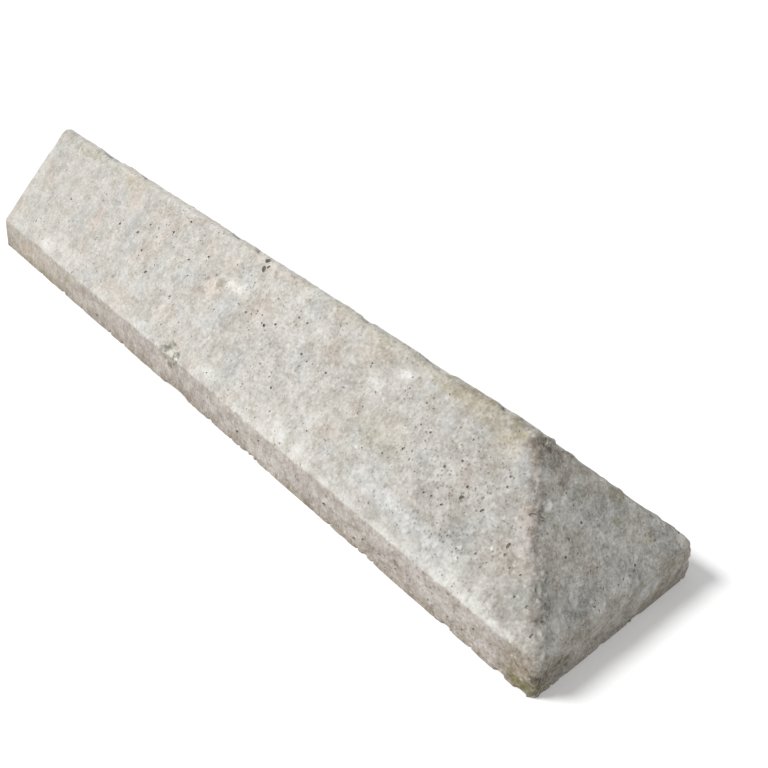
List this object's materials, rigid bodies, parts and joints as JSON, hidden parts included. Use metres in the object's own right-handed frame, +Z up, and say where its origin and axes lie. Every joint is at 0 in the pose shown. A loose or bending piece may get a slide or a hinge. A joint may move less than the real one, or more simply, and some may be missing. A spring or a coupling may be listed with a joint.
{
  "type": "concrete kerb stone",
  "caption": "Ridge-topped precast concrete kerb stone with upright sides, sloping faces, a hipped nose and a square butt end; it ends a laid run along a bed, path or drive.",
  "frame": {"origin": "middle of the flat foot, on the ground", "axes": "+X along the length towards the hipped nose, -X towards the square butt end, +Y across the section, +Z up"},
  "size_m": [1, 0.225, 0.15],
  "materials": {
    "concrete": "matte"
  },
  "bodies": {
    "root": {"kerb_stone": "concrete"}
  },
  "joints": []
}
